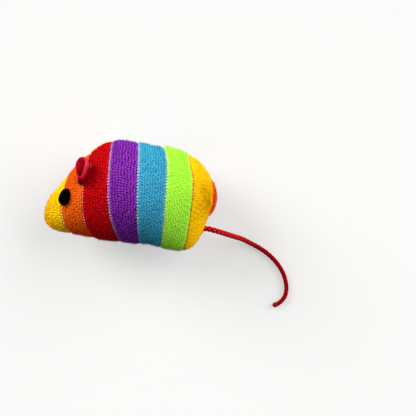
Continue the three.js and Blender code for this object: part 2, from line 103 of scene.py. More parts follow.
# Stripes: name with its yarn, width along the flank, how far the rear edge trails at back and belly,
# and where that edge wanders: how far, at what share of the way down, and over what reach
LEFT_STRIPES = [
    ("nose_yellow", 12, 1.7, 2.8, (-0.45, 0.62, 0.25)),
    ("cheek_orange", 11.9, 1.8, 3.8, (-0.9, 0.85, 0.35)),
    ("shoulder_red", 13.2, -0.4, 4.1, (0.6, 0.15, 0.25)),
    ("chest_purple", 15, -2.1, -0.6, (0.85, 0.22, 0.22)),
    ("middle_blue", 15.4, -4.8, -5.2, (2.7, 0.3, 0.2)),
    ("haunch_green", 18.1, -7.4, -12.3, (0.75, 0.34, 0.14), (1.2, 0.78, 0.2)),
    ("rump_yellow",),
]
RIGHT_STRIPES = [
    ("nose_red", 8, 2.5, 2),
    ("cheek_orange", 14, 3, 1),
    ("shoulder_yellow", 13.5, 2.5, 0),
    ("chest_green", 12, 1.5, -3),
    ("middle_blue", 11.5, -1, -6),
    ("loin_purple", 11.5, -3, -7),
    ("haunch_red", 11.5, -5, -7),
    ("rump_orange",),
]
# Yarns: colour, and how dark the painted shade in the pits between the loops is. Above 1 the shaded
# pits widen.
YARNS = {
    "yellow": ("fec90a", 0.16),
    "orange": ("f56811", 0.66),
    "red": ("cb0812", 0.7),
    "purple": ("9133b7", 1.4),
    "blue": ("44a9cc", 0.72),
    "green": ("aef243", 0.26),
}
# How much single stitches vary in tone
MOTTLE = 0.42
# Yarns whose painted shade is redder: tone of the painted shade in their pits, tone of a painted warm
# shade towards the belly, and how far the second shows
WARM_YARNS = {"yellow": ("c8780a", "fcb408", 0.35), "orange": ("a02c08", "fa4a0c", 0.6)}
# Start of a stripe, where the yarns change over: colours of a lead line, of the dashes and the gaps
# between them, and of a mixed strip, with the ends of line, dashes and strip in courses, and how
# strong the dashes are towards the back and the belly
BORDERS = {
    "yellow": (("f3e07a", "93480f", "f4c020", "f5c80f"), (0.2, 0.85, 0.9), (0.5, 1.0)),
    "orange": (("e88a3c", "fad2ae", "c4551a", "e6611a"), (0.02, 0.45, 0.5), (0.6, 0.6)),
    "red": (("d8401c", "f6ac90", "a82a14", "c2141c"), (0.02, 0.45, 0.55), (0.6, 0.55)),
    "purple": (("b01424", "e8a4cc", "521a52", "b47cc4"), (0.04, 0.55, 1.15), (0.6, 0.4)),
    "blue": (("5c2486", "a8c8da", "5a589c", "7cbcd6"), (0.02, 0.7, 0.95), (0.6, 0.3)),
    "green": (("4f9ab0", "bef6be", "74a85a", "d2f07c"), (0.02, 0.8, 1.1), (0.85, 0.5)),
}

# Knit: courses run round the body, wales run from nose to rear and drift towards the belly
COURSE = 1.54
WALE = 1.35
WALE_DRIFT = 0.25
STITCH_DEPTH = 0.5
STITCH_MIDDLE = 0.75
UNEVEN = 0.14
DASHES_PER_WALE = 0.85
DASH_SLANT = 0.5
# Mesh of a stripe: points to a stitch and to a step of its plain inside, its length over the body's
# bulge to that along the spine, and the least courses and girth that it is cut for
SAMPLES = 6
INNER_STEP = 6
BULGE = 1.06
LEAST_COURSES = 9
LEAST_GIRTH = 40
# Where stitches fade out by the seams and at both ends, and how seams and edges are drawn in
PLAIN_REACH = 0.7
PLAIN_ENDS = 5
SEAM_DEPTH = 0.8
SEAM_REACH = 1.1
EDGE_DEPTH = 0.28
EDGE_REACH = 0.9
PUCKER = 0.25
PUCKER_STEP = 3.1
# A dent in the right panel beside the tail
DENT_FROM_REAR = 6
DENT_LEAN = 0.65
DENT_DEPTH = 3.2
DENT_REACH = 3.5
# Loose fibres to a square millimetre, none by the right panel's seams. They skip the borders' tones.
FUZZ_PER_AREA = 2
YELLOW_FUZZ = 1.5
FUZZ_RADIUS = 0.07
FUZZ_ROOT = 0.1
FUZZ_LENGTH = (0.6, 1.6)
FUZZ_RISE = (0.3, 0.75)
UNDERSIDE_MARGIN = 0.12
FUZZ_COURSE = 2

# Where sewing and stuffing move the cover in or out: place along the spine and around, height, and
# reach in each direction
SETTLING = [
    (0, 0, -0.85, 5, 9),
    (8, 0.2, -0.7, 5, 0.8),
    (42, 0, 0.5, 6, 0.6),
    (60, 0, -1.1, 4, 0.5),
    (57.5, PI, -1.3, 4.5, 0.55),
    (75.5, PI, 1.3, 6.5, 0.6),
    (92.3, 0, -0.5, 2.1, 9),
]

# Angles by which the sewn seams wander off the panels' edges, by place along the spine
BACK_SWAY = [
    (0, -0.15), (10, -0.12), (16, 0), (38, 0), (42, -0.12), (60, -0.1), (75, -0.14), (85, -0.14),
    (87.5, -0.15), (89, 0.03), (90, 0.14), (92.3, 0),
]
BELLY_SWAY = [
    (0, 0.15), (30, 0.15), (36, 0.04), (40, 0), (87.8, 0), (88.5, -0.1), (89.4, -0.33), (90.7, -0.39),
    (91.5, -0.3), (92.1, -0.14), (92.3, 0),
]
SWAY_STEPS = (-0.8, -0.4, 0, 0.4, 0.8)
# Cloth simulation of the stuffed cover on a coarse grid, in points along and around
CLOTH_ROWS = 56
CLOTH_COLUMNS = 80
CLOTH_END = 0.09
CLOTH_ROOM = 0.8
CLOTH_SCALE = 10
CLOTH_PRESSURE = 14
CLOTH_STEPS = 20
CLOTH_CAP = 0.45
CLOTH_FADE = 0.6

# Felt eyes and ears
FELT_TURNS = 72
EYE_ALONG = 14.45
EYE_AROUND = 1.42
EYE_LENGTH = 9
EYE_WIDTH = 6.3
EYE_TILT = -0.5
EYE_FELT = 1.1
EYE_CROWN = 0.4
EYE_SPREAD = 1.17
EYE_UNDERSIDE = 0.05
EYE_ROUNDING = 0.07
EYE_ROUGH = 0.03
EAR_ALONG = 26.4
EAR_AROUND = 1.18
EAR_SLANT = 0.65
EAR_FELT = 1.5
EAR_ROUGH = 0.035
PINCH_LENGTH = 9.8
PINCH_WIDTH = 3.4
PINCH_LIFT = 1.1
PINCH_BLUNT = 0.8
EAR_HEIGHT = 6
EAR_BOW = 0.15
RIM_LENGTH = 11.8
RIM_WIDTH = 7.4
RIM_SHIFT = 2.6
PRESSED_RIM = 5
RIM_TWIST = 0.68
RIM_TAPER = 0.42
REAR_TAPER = 0.2
RIM_HOOK = 1.2
RIM_ASIDE = 0.5
LEFT_EAR_LEAN = 0.05
RIGHT_EAR_LEAN = 1.1
# Thread tacks on the ears: place on the wall, and how the thread arches over it
TACK_TURN = -0.75
TACK_FROM = 6
TACK_ARCH = (-0.3, 0.3, 0.4, 0.3, -0.3)
TACK_APART = 0.3
TACK_STEP = 0.12
TACK_RADIUS = 0.17

# Tail cord: run towards +X and +Y from the root, and share of the root's height
TAIL_DIAMETER = 2.5
TAIL_END_DIAMETER = 2.9
TAIL_SPREAD = 0.2
TAIL_ROUTE = [
    (0, 0.1, 1), (3.2, -0.7, 0.98), (5.8, -1.5, 0.9), (8.5, -2.4, 0.77), (14, -4.4, 0.46),
    (19.5, -6.3, 0.19), (24.9, -9, 0.04), (29.3, -11.4, 0), (33.5, -14.2, 0), (37.7, -18, 0),
    (40.9, -22, 0), (43.4, -26.5, 0), (44.8, -31.4, 0), (45.1, -35.5, 0), (44.4, -38.8, 0),
    (42.9, -41.3, 0), (40.9, -43.1, 0), (38.9, -44.1, 0), (37.1, -44.5, 0),
]
# Its braid and mesh, how far it reaches inside the cover, and its swollen sealed end
BRAID_STRANDS = 4
BRAID_TWIST = 0.62
BRAID_DEPTH = 0.32
BRAID_MIDDLE = 0.85
TAIL_SIDES = 48
TAIL_RING = 0.22
TUBE_SIDES = 16
TAIL_INSIDE = 1.2
BULB_REACH = 1.1
BULB_RIDGE = 0.8

# Filling: ends of the wads along the spine, room around wads and leaf, flakes of leaf, and the knot
WAD_START = 0.5
FRONT_WAD_END = 45.4
REAR_WAD_START = 46.6
FILL_ROOM = 1.2
LEAF_FLAKES = 700
LEAF_BEND = 0.12
LEAF_THICKNESS = 0.16
KNOT_DEPTH = 6.4
KNOT_TURN = 1.5
KNOT_CROSSING = 0.7
KNOT_RADIUS = 0.8


def unit(vectors):
    return vectors / np.maximum(norm(vectors, axis=-1, keepdims=True), 1e-12)


def lerp(a, b, share):
    return a + (b - a) * share


def between(at, start, end, a, b):
    """The value on the way from a at the start to b at the end."""
    return lerp(a, b, (at - start) / (end - start))


def hill(far, reach):
    """1 at a place, falling off to nothing over a reach around it."""
    return np.exp(-((far / reach) ** 2))


def blunted(values, power):
    """Values from -1 to 1, pushed outwards by a power under 1."""
    return np.sign(values) * np.abs(values) ** power


def full_turn(count):
    return np.linspace(0, 2 * PI, count, endpoint=False)


def turned(a, b, angle):
    """Two measures or directions square to each other, turned together by an angle."""
    return a * math.cos(angle) + b * math.sin(angle), b * math.cos(angle) - a * math.sin(angle)


def arc_lengths(points, axis=0):
    """How far along its line, or its row of a grid, each point lies."""
    steps = norm(np.diff(points, axis=axis), axis=-1)
    pad = [(0, 0)] * steps.ndim
    pad[axis] = (1, 0)
    return np.pad(np.cumsum(steps, axis=axis), pad)


# Body surface, from the same stations as the solids
STATION_ALONG = np.cumsum([station[0] for station in STATIONS])
BODY_LENGTH = STATION_ALONG[-1]
NUDGE = 0.01


def pole_angle(along):
    return np.arccos(1 - 2 * np.clip(along / BODY_LENGTH, 0, 1))


def along_at(angle):
    return BODY_LENGTH * (1 - np.cos(angle)) / 2


def curve_through(column):
    """Smooth curve through one column of the stations, each knot's slope taken from its neighbours."""
    knots = pole_angle(STATION_ALONG)
    values = np.array([station[column] for station in STATIONS], float)
    last = len(knots) - 1
    before = np.maximum(np.arange(last + 1) - 1, 0)
    after = np.minimum(np.arange(last + 1) + 1, last)
    slopes = (values[after] - values[before]) / (knots[after] - knots[before])

    def at(angle):
        i = np.clip(np.searchsorted(knots, angle) - 1, 0, last - 1)
        span = knots[i + 1] - knots[i]
        f = (angle - knots[i]) / span
        g = 1 - f
        ends = values[i] * g * g * (1 + 2 * f) + values[i + 1] * f * f * (1 + 2 * g)
        return ends + span * f * g * (slopes[i] * g - slopes[i + 1] * f)

    return at


back_height, belly_height, half_thickness, back_lean, belly_lean = map(curve_through, range(1, 6))


def spine_turn(along):
    return np.maximum(0, along - (BODY_LENGTH - BEND_LENGTH)) / BEND_RADIUS


def surface(angle, around):
    """Points of the body. around is 0 at the back, pi at the belly, positive on the left."""
    along = along_at(angle)
    turn = spine_turn(along)
    back = back_height(angle)
    belly = belly_height(angle)
    height = (back + belly) / 2 + (back - belly) / 2 * np.cos(around)
    out = half_thickness(angle) * np.sin(around)
    x = np.minimum(along, BODY_LENGTH - BEND_LENGTH) + (BEND_RADIUS - out) * np.sin(turn)
    z = BEND_RADIUS * (1 - np.cos(turn)) + out * np.cos(turn)
    return np.stack(np.broadcast_arrays(x, height, z), -1) + ORIGIN


def tangents(angle, around):
    """Short steps along and around the body at a place."""
    lengthwise = surface(angle + NUDGE, around) - surface(angle - NUDGE, around)
    crosswise = surface(angle, around + NUDGE) - surface(angle, around - NUDGE)
    return lengthwise, crosswise


def normals(angle, around):
    lengthwise, crosswise = tangents(np.clip(angle, NUDGE, PI - NUDGE), around)
    found = unit(np.cross(crosswise, lengthwise))
    turn = spine_turn(along_at(angle))
    forward = np.stack(np.broadcast_arrays(np.cos(turn), 0 * around, np.sin(turn)), -1)
    all_angles = np.broadcast_to(angle, around.shape)[..., None]
    found = np.where(all_angles < NUDGE, -forward, found)
    return np.where(all_angles > PI - NUDGE, forward, found)


# The solids' origin comes from the tail's joint, which lies just outside the seam.
ORIGIN = np.zeros(3)
EXIT_WAY = np.array([math.cos(EXIT_SLOPE), math.sin(EXIT_SLOPE), 0])
joints = {joint["name"]: joint for joint in frame["joints"]}
tail_root = np.array(joints["tail_swing"]["pos_m"]) / MM
exit_angle = pole_angle(BODY_LENGTH - EXIT_FROM_REAR)
exit_around = PI + belly_lean(exit_angle)
ORIGIN = tail_root - EXIT_WAY * (TAIL_DIAMETER / 2 + SEWN_GAP) - surface(exit_angle, exit_around)
exit_point = surface(exit_angle, exit_around)
dent_place = surface(pole_angle(BODY_LENGTH - DENT_FROM_REAR), np.array(PI + DENT_LEAN))


def dented(places):
    """How far the cover is drawn in beside the tail."""
    return DENT_DEPTH * hill(norm(places - dent_place, axis=-1), DENT_REACH)


def settled(angle, around):
    """How far sewing and stuffing move the cover out at a place."""
    along = along_at(angle)
    total = 0 * along * around
    for at, turn, height, reach, spread in SETTLING:
        beside = np.exp(-2 * (1 - np.cos(around - turn)) / spread ** 2)
        total = total + height * hill(along - at, reach) * beside
    return total


# Meshes
def added(name, data):
    made = bpy.data.objects.new(name, data)
    scene.collection.objects.link(made)
    return made


def mesh_piece(name, points, faces, uv=None, values=None, clean=True):
    """A smooth mesh object from points in millimetres, with a UV map and named values at its points."""
    mesh = bpy.data.meshes.new(name)
    points = np.asarray(points, float).reshape(-1, 3)
    mesh.from_pydata((points * MM).tolist(), [], [list(map(int, face)) for face in faces])
    if uv is not None:
        corners = np.empty(len(mesh.loops), np.int32)
        mesh.loops.foreach_get("vertex_index", corners)
        layer = mesh.uv_layers.new(name="knit")
        layer.data.foreach_set("uv", np.asarray(uv, np.float32).reshape(-1, 2)[corners].ravel())
    for key, value in (values or {}).items():
        layer = mesh.attributes.new(key, "FLOAT", "POINT")
        layer.data.foreach_set("value", np.asarray(value, np.float32).ravel())
    if clean:
        made = bmesh.new()
        made.from_mesh(mesh)
        bmesh.ops.remove_doubles(made, verts=made.verts, dist=1e-7)
        bmesh.ops.dissolve_degenerate(made, edges=made.edges, dist=1e-8)
        bmesh.ops.recalc_face_normals(made, faces=made.faces)
        made.to_mesh(mesh)
        made.free()
    mesh.shade_smooth()
    return added(name, mesh)


def grid_faces(rows, columns, start=0, wrap=False):
    """Quads of a grid of rows by columns points."""
    index = np.arange(rows * columns).reshape(rows, columns) + start
    if wrap:
        index = np.concatenate([index, index[:, :1]], 1)
    quads = np.stack([index[:-1, :-1], index[:-1, 1:], index[1:, 1:], index[1:, :-1]], -1)
    return quads.reshape(-1, 4).tolist()


def strip_faces(fine, coarse):
    """Faces between a fine row of point numbers and a coarse one with the same ends."""
    step = (len(fine) - 1) // (len(coarse) - 1)
    faces = []
    for j in range(len(coarse) - 1):
        first = j * step
        middle = first + step // 2
        for k in range(first, first + step):
            faces.append([fine[k], fine[k + 1], coarse[j] if k < middle else coarse[j + 1]])
        faces.append([coarse[j], fine[middle], coarse[j + 1]])
    return faces


def dress(piece, body, material, slot, *nodes):
    """Gives a piece its material and body, and lets it stand for its solids."""
    piece.data.materials.append(material)
    if body:
        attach(piece, body)
    if nodes:
        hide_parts(*nodes)


def simulated_cover():
    """Cloth simulation of the cover: a closed skin held at its seams and blown up by its stuffing.

    Gives how far the panels swell out, or are held in, at an angle and a turn on one side.
    """
    half = CLOTH_COLUMNS // 2
    angle = np.linspace(CLOTH_END, PI - CLOTH_END, CLOTH_ROWS)[:, None]
    column = np.arange(CLOTH_COLUMNS)[None, :]
    left = lerp(back_lean(angle), PI + belly_lean(angle), column / half)
    right = lerp(back_lean(angle), belly_lean(angle) - PI, (CLOTH_COLUMNS - column) / half)
    around = np.where(column <= half, left, right)
    ways = normals(angle + 0 * around, around)
    skin = surface(angle, around) - ways * CLOTH_ROOM
    last = CLOTH_ROWS * CLOTH_COLUMNS
    faces = grid_faces(CLOTH_ROWS, CLOTH_COLUMNS, wrap=True)
    for j in range(CLOTH_COLUMNS):
        k = (j + 1) % CLOTH_COLUMNS
        faces.append([k, j, last])
        faces.append([last - CLOTH_COLUMNS + j, last - CLOTH_COLUMNS + k, last + 1])
    points = np.concatenate([skin.reshape(-1, 3), skin[[0, -1]].mean(1)]) * CLOTH_SCALE
    piece = mesh_piece("cover_cloth", points, faces, clean=False)
    sewn = np.flatnonzero((column % half + 0 * angle).ravel() == 0)
    group = piece.vertex_groups.new(name="sewn")
    group.add([*map(int, sewn), last, last + 1], 1.0, "REPLACE")
    cloth = piece.modifiers.new("cloth", "CLOTH")
    cloth.settings.vertex_group_mass = "sewn"
    cloth.settings.use_pressure = True
    cloth.settings.uniform_pressure_force = CLOTH_PRESSURE
    cloth.settings.effector_weights.gravity = 0
    cloth.point_cache.frame_end = CLOTH_STEPS
    for step in range(1, CLOTH_STEPS + 1):
        scene.frame_set(step)
    blown = piece.evaluated_get(bpy.context.evaluated_depsgraph_get()).data
    places = np.empty(3 * len(blown.vertices), np.float32)
    blown.vertices.foreach_get("co", places)
    scene.frame_set(1)
    bpy.data.objects.remove(piece)
    places = places.reshape(-1, 3)[:last].reshape(skin.shape) / MM / CLOTH_SCALE
    moved = ((places - skin) * ways).sum(-1)
    moved = np.clip(moved - moved.mean(), -CLOTH_CAP, CLOTH_CAP)
    moved = moved * np.clip(np.sin(angle) / CLOTH_FADE, 0, 1)

    def at(angle, around, side):
        back = back_lean(angle)
        share = np.clip((around - back) / (side * PI + belly_lean(angle) - back), 0, 1)
        row = np.clip((angle - CLOTH_END) / (PI - 2 * CLOTH_END), 0, 0.9999) * (CLOTH_ROWS - 1)
        column = (side * share * half) % CLOTH_COLUMNS
        row, column = np.broadcast_arrays(row, column)
        i = row.astype(int)
        j = column.astype(int) % CLOTH_COLUMNS
        k = (j + 1) % CLOTH_COLUMNS
        down = row - i
        low = lerp(moved[i, j], moved[i + 1, j], down)
        high = lerp(moved[i, k], moved[i + 1, k], down)
        return lerp(low, high, column - np.floor(column))

    return at


# Materials
def colour(hex_code):
    parts = [int(hex_code[i:i + 2], 16) / 255 for i in (0, 2, 4)]
    linear = [c / 12.92 if c <= 0.04045 else ((c + 0.055) / 1.055) ** 2.4 for c in parts]
    return (*linear, 1)


def shade(rgba, factor):
    return (*(min(1, c * factor) for c in rgba[:3]), 1)


def shadowed(rgba):
    """Painted shade of a yarn down between its loops: darker and fuller."""
    return (*(0.1 * c ** 1.4 for c in rgba[:3]), 1)


class Look:
    """A material with short names for its nodes."""

    def __init__(self, name):
        self.material = bpy.data.materials.new(name)
        self.material.use_nodes = True
        self.tree = self.material.node_tree
        self.shader = self.tree.nodes["Principled BSDF"]

    def add(self, kind, inputs=None, **settings):
        node = self.tree.nodes.new("ShaderNode" + kind)
        for key, value in settings.items():
            setattr(node, key, value)
        for key, value in (inputs or {}).items():
            self.put(node.inputs[key], value)
        return node

    def put(self, socket, value):
        if isinstance(value, bpy.types.NodeSocket):
            self.tree.links.new(value, socket)
        else:
            socket.default_value = value

    def math(self, operation, a, b=0):
        return self.add("Math", {0: a, 1: b}, operation=operation).outputs[0]

    def times(self, a, b):
        return self.math("MULTIPLY", a, b)

    def ramp(self, value, low, high, start=0, end=1):
        inputs = {0: value, 1: low, 2: high, 3: start, 4: end}
        return self.add("MapRange", inputs, interpolation_type="SMOOTHSTEP").outputs[0]

    def mix(self, factor, a, b):
        return self.add("Mix", {0: factor, 6: a, 7: b}, data_type="RGBA").outputs[2]

    def noise(self, vector, scale, detail, rough=0.5):
        inputs = {"Vector": vector, "Scale": scale, "Detail": detail, "Roughness": rough}
        return self.add("TexNoise", inputs).outputs["Fac"]

    def vector(self, x, y):
        return self.add("CombineXYZ", {0: x, 1: y}).outputs[0]

    def value(self, name):
        return self.add("Attribute", attribute_name=name).outputs["Fac"]

    def uv(self):
        split = self.add("SeparateXYZ", {0: self.add("UVMap", uv_map="knit").outputs[0]})
        return split.outputs[0], split.outputs[1]

    def place(self):
        return self.add("TexCoord").outputs["Object"]

    def bump(self, height, strength, distance):
        inputs = {"Height": height, "Strength": strength, "Distance": distance}
        self.put(self.shader.inputs["Normal"], self.add("Bump", inputs).outputs[0])

    def finish(self, base, roughness, sheen, tint, specular):
        sheen_keys = ("Sheen Weight", "Sheen Roughness", "Sheen Tint")
        keys = ("Base Color", "Roughness", *sheen_keys, "Specular IOR Level")
        for key, value in zip(keys, (base, roughness, sheen, 0.4, tint, specular)):
            self.put(self.shader.inputs[key], value)
        return self.material


def knit_material(name, yarn, bordered):
    """Fine stocking stitch in one yarn, with painted shade in the pits between its loops, and on warm
    yarns a painted warm shade towards the belly. Where it starts, the yarns change over in dashes.
    """
    look = Look(name)
    yarn_hex, pits = YARNS[yarn]
    base = colour(yarn_hex)
    pit_shade_tone = shadowed(base)
    mottle = MOTTLE * min(1, pits)
    course, wale = look.uv()
    ridge = look.value("ridge")
    share = look.value("share")
    across = look.math("ABSOLUTE", look.math("SUBTRACT", look.math("FRACT", wale), 0.5))
    leg = look.math("ADD", course, across)
    legs = look.times(wale, 2)
    fibre = look.noise(look.vector(look.times(leg, 7), legs), 1, 3, 0.6)
    stitch = look.vector(look.math("FLOOR", leg), look.math("FLOOR", legs))
    tone = look.add("TexWhiteNoise", {"Vector": stitch}, noise_dimensions="2D").outputs["Value"]
    worn = look.noise(look.place(), 130, 2)
    lit = look.mix(look.ramp(fibre, 0.3, 0.75), shade(base, 0.9), shade(base, 1.12))
    pale = look.mix(look.ramp(tone, 0, 0.5, mottle, 0), lit, shade(base, 1.4))
    toned = look.mix(look.ramp(tone, 0.5, 1, 0, mottle), pale, shade(base, 0.5))
    faded = look.mix(look.ramp(worn, 0.45, 0.75, 0, 0.12), toned, shade(base, 1.25))
    # Warm yarns: a redder painted shade in the pits, and a painted warm shade over the lower share
    # towards the belly.
    if yarn in WARM_YARNS:
        pit_shade_hex, belly_shade_hex, most = WARM_YARNS[yarn]
        pit_shade_tone = colour(pit_shade_hex)
        faded = look.mix(look.ramp(share, 0.55, 0.95, 0, most), faded, colour(belly_shade_hex))
    # Painted shade in the pits between the loops, deepest where the ridge is lowest.
    pit_shade = look.ramp(ridge, 0, 0.95, pits, 0)
    deep = look.mix(pit_shade, faded, pit_shade_tone)
    if bordered:
        (lead, dash, gap, strip), (lead_end, dash_end, strip_end), (back, belly) = BORDERS[yarn]
        in_strip = look.ramp(course, strip_end + 0.1, strip_end - 0.1, 0, 0.85)
        # The mixed strip gets the same painted shade in its pits.
        deep = look.mix(in_strip, deep, look.mix(pit_shade, colour(strip), shade(colour(strip), 0.45)))
        slant = look.math("ADD", look.times(wale, DASHES_PER_WALE), look.times(course, DASH_SLANT))
        dashes = look.mix(look.ramp(look.math("FRACT", slant), 0.4, 0.55), colour(dash), colour(gap))
        near_back = look.ramp(share, 0.1, 0.34, back, 1)
        near_belly = look.ramp(share, 0.62, 0.8, 1, belly)
        in_dash = look.ramp(course, dash_end + 0.05, dash_end - 0.05)
        deep = look.mix(look.times(in_dash, look.times(near_back, near_belly)), deep, dashes)
        deep = look.mix(look.ramp(course, lead_end + 0.03, lead_end - 0.03), deep, colour(lead))
    look.bump(look.math("ADD", fibre, look.times(worn, 0.5)), 0.5, 0.0001)
    return look.finish(deep, look.ramp(ridge, 0, 1, 0.98, 0.86), 0.06, shade(base, 1.2), 0.03)


def felt_material(name, hex_code, edge_highlight_hex, fold_shade_hex, specular):
    """Pressed felt: tangled fibres in a few tones, with a painted highlight on its edges and painted
    shade in its creases and hollows.
    """
    look = Look(name)
    base = colour(hex_code)
    place = look.place()
    bent = look.noise(place, 300, 2)
    stretched = look.add("Mapping", {"Vector": place, "Scale": (1, 2.2, 1.4)}).outputs[0]
    tangle = look.noise(stretched, 800, 4, 0.7)
    clump = look.noise(place, 420, 3)
    tone = look.mix(look.ramp(tangle, 0.36, 0.64), shade(base, 0.5), shade(base, 1.35))
    tone = look.mix(look.ramp(clump, 0.4, 0.66, 0, 0.5), tone, shade(base, 0.75))
    # Painted shade in creases and hollows, such as inside an ear's cup.
    tone = look.mix(look.value("fold_shade"), tone, colour(fold_shade_hex))
    # Painted highlight on the edges, broken up by noise.
    edge_highlight = look.times(look.value("edge_highlight"), look.ramp(bent, 0.3, 0.7, 0.55, 1))
    tone = look.mix(edge_highlight, tone, colour(edge_highlight_hex))
    look.bump(look.math("ADD", tangle, clump), 0.6, 0.00018)
    return look.finish(tone, look.ramp(tangle, 0.2, 0.8, 0.82, 0.98), 0, base, specular)


def cord_material():
    """Braided polyester: filaments on each strand, painted glints on its ridges, painted shade in its
    pits and painted shade that darkens it towards its end, with a sealed end.
    """
    look = Look("braided red cord")
    base = colour("e0141a")
    turn, run = look.uv()
    ridge = look.value("ridge")
    along = look.value("along")
    # Painted shade: the cord darkens towards its end.
    end_shade = look.ramp(along, 0.26, 0.58)
    filament = look.noise(look.vector(look.times(turn, 30), look.times(run, 14)), 1, 2)
    lit = look.mix(look.ramp(filament, 0.3, 0.7), shade(base, 0.8), shade(base, 1.2))
    end_shaded = look.mix(look.times(end_shade, 0.85), lit, colour("8e040a"))
    # Painted glints on the ridge tops of the braid, duller towards the end.
    bright = look.mix(end_shade, colour("ff6450"), colour("a60a10"))
    glint = look.mix(look.ramp(ridge, 0.86, 0.99, 0, 0.75), end_shaded, bright)
    # Painted shade in the pits of the braid, weaker towards the end.
    pit_shade = look.times(look.ramp(ridge, 0.4, 0.9, 0.95, 0), look.ramp(along, 0.3, 0.6, 1, 0.35))
    deep = look.mix(pit_shade, glint, shade(base, 0.06))
    ended = look.mix(look.ramp(along, 0.95, 0.985, 0, 0.75), deep, colour("96141f"))
    look.bump(filament, 0.3, 0.0001)
    return look.finish(ended, look.ramp(ridge, 0.3, 1, 0.8, 0.5), 0, base, 0)


def plain_fibre_material(name, hex_code, scale):
    """Loose fibre or crumbled leaf in tufts of a few tones."""
    look = Look(name)
    base = colour(hex_code)
    strands = look.add("Mapping", {"Vector": look.place(), "Scale": (1, 3, 0.6)}).outputs[0]
    tuft = look.noise(strands, scale, 5, 0.65)
    tone = look.mix(look.ramp(tuft, 0.3, 0.7), shade(base, 0.62), shade(base, 1.08))
    look.bump(tuft, 0.7, 0.0004)
    return look.finish(tone, look.ramp(tuft, 0.2, 0.8, 0.85, 1), 0.2, base, 0.15)


# Camera, floor and light
def make_camera():
    data = bpy.data.cameras.new("camera")
    data.lens = CAMERA_LENS
    data.sensor_width = 36
    data.clip_start = 0.01
    scene.camera = added("camera", data)
    scene.camera.location = CAMERA_PLACE


def make_stage():
    half = FLOOR_SIZE / 2 / MM
    corners = [(x * half, y * half, FLOOR_HEIGHT) for x, y in ((-1, -1), (1, -1), (1, 1), (-1, 1))]
    floor = mesh_piece("floor", corners, [[0, 1, 2, 3]], clean=False)
    look = Look("pale floor")
    grain = look.noise(look.place(), 900, 2)
    tone = look.mix(grain, (0.38, 0.38, 0.377, 1), (0.42, 0.42, 0.417, 1))
    paths = look.add("LightPath").outputs
    seen = look.math("MAXIMUM", paths["Is Camera Ray"], paths["Is Glossy Ray"])
    seen = look.math("MAXIMUM", seen, paths["Is Transmission Ray"])
    tone = look.mix(seen, shade((1, 1, 1), FLOOR_BOUNCE), tone)
    look.put(look.shader.inputs["Emission Color"], (1, 1, 0.99, 1))
    look.put(look.shader.inputs["Emission Strength"], look.times(seen, FLOOR_GLOW))
    floor.data.materials.append(look.finish(tone, 0.95, 0, (1, 1, 1, 1), 0.1))
    world = bpy.data.worlds.new("sky")
    world.use_nodes = True
    sky = world.node_tree.nodes["Background"]
    sky.inputs["Color"].default_value = (1, 1, 1, 1)
    sky.inputs["Strength"].default_value = SKY
    scene.world = world
    for strength, way, softness in LAMPS:
        data = bpy.data.lights.new("lamp", "SUN")
        data.energy = strength
        data.angle = math.radians(softness)
        lamp = added("lamp", data)
        lamp.rotation_mode = "QUATERNION"
        lamp.rotation_quaternion = Vector(way).to_track_quat("Z", "Y")
    scene.view_settings.view_transform = "Standard"


# Tail
def smooth_line(points, step):
    """Points about a step apart on a centripetal curve through the given ones."""
    points = np.asarray(points, float)
    ends = np.concatenate([[2 * points[0] - points[1]], points, [2 * points[-1] - points[-2]]])
    found = []
    for i in range(1, len(ends) - 2):
        p0, p1, p2, p3 = near = ends[i - 1:i + 3]
        t0, t1, t2, t3 = np.cumsum([0, *norm(np.diff(near, axis=0), axis=1) ** 0.5])
        count = max(2, round(norm(p2 - p1) / step))
        t = np.linspace(t1, t2, count, endpoint=False)[:, None]
        a1 = between(t, t0, t1, p0, p1)
        a2 = between(t, t1, t2, p1, p2)
        a3 = between(t, t2, t3, p2, p3)
        b1 = between(t, t0, t2, a1, a2)
        b2 = between(t, t1, t3, a2, a3)
        found.append(between(t, t1, t2, b1, b2))
    return np.concatenate(found + [points[-1:]])


def tube_frames(line):
    """Two directions square to each point's run, carried along without twist."""
    runs = unit(np.gradient(line, axis=0))
    sides = [unit(np.cross(runs[0], [0, 0, 1]))]
    for run in runs[1:]:
        sides.append(unit(sides[-1] - run * (sides[-1] @ run)))
    sides = np.array(sides)
    return sides, np.cross(runs, sides)


def rings_across(first, second, turn):
    """Rings of directions, each turning from a first direction to a second."""
    return first[:, None] * np.cos(turn)[:, None] + second[:, None] * np.sin(turn)[:, None]


def tube(line, turn, size, start=0):
    """Points, faces and UV places of a closed tube along a line, from its radius at each point."""
    points = line[:, None] + rings_across(*tube_frames(line), turn) * size[..., None]
    sides = len(turn)
    end = start + len(line) * sides
    faces = grid_faces(len(line), sides, start, wrap=True)
    faces.append(list(range(start, start + sides))[::-1])
    faces.append(list(range(end - sides, end)))
    uv = np.stack(np.broadcast_arrays(turn, arc_lengths(line)[:, None]), -1)
    return points.reshape(-1, 3), faces, uv.reshape(-1, 2)


def tube_piece(name, tubes):
    """Round cords along lines of points, in millimetres, as one mesh with braid values."""
    turn = full_turn(TUBE_SIDES)
    made = []
    start = 0
    for line, radius in tubes:
        ridge = braid(turn, arc_lengths(line)[:, None])
        size = radius * (1 + BRAID_DEPTH * (ridge - 1))
        made.append((*tube(line, turn, size, start), ridge.ravel()))
        start += ridge.size
    points, faces, uv, ridges = zip(*made)
    values = {"ridge": np.concatenate(ridges), "along": np.zeros(start)}
    return mesh_piece(name, np.concatenate(points), sum(faces, []), np.concatenate(uv), values)


